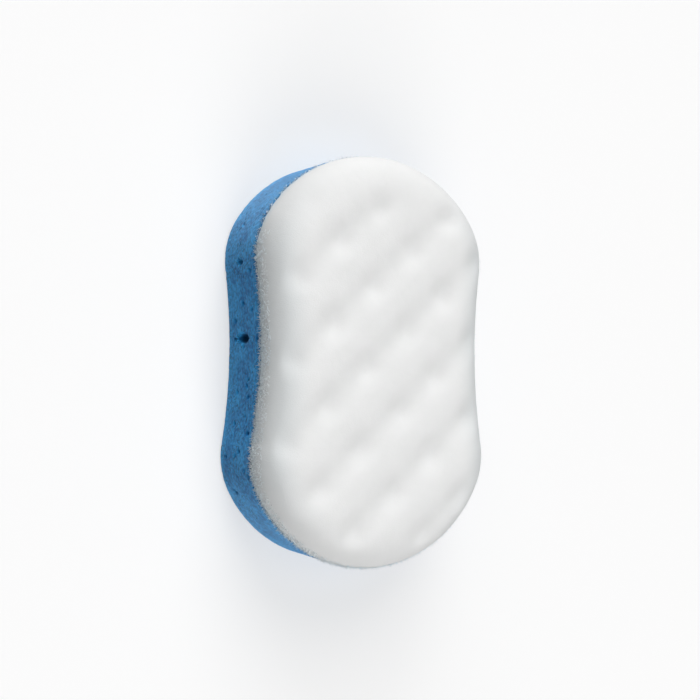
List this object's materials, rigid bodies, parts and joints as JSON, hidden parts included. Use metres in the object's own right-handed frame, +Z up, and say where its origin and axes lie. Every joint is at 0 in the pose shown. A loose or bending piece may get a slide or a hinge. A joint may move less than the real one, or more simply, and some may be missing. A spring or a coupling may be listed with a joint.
{
  "type": "bath sponge",
  "caption": "Two-lobed bath sponge: a blue foam slab bonded to a white egg-crate massage layer with a soft round shoulder.",
  "frame": {"origin": "middle of the blue underside, at the middle of the object's bounding box", "axes": "+X across the sponge, +Y along it towards the head lobe, +Z up through the blue layer to the white one"},
  "size_m": [0.0898, 0.145, 0.042],
  "materials": {
    "blue_foam": "matte, open-cell foam with scattered pores",
    "white_foam": "matte, fine-cell foam, soft egg-crate face"
  },
  "bodies": {
    "root": {"blue_foam_layer": "blue_foam", "white_massage_layer": "white_foam"}
  },
  "joints": []
}
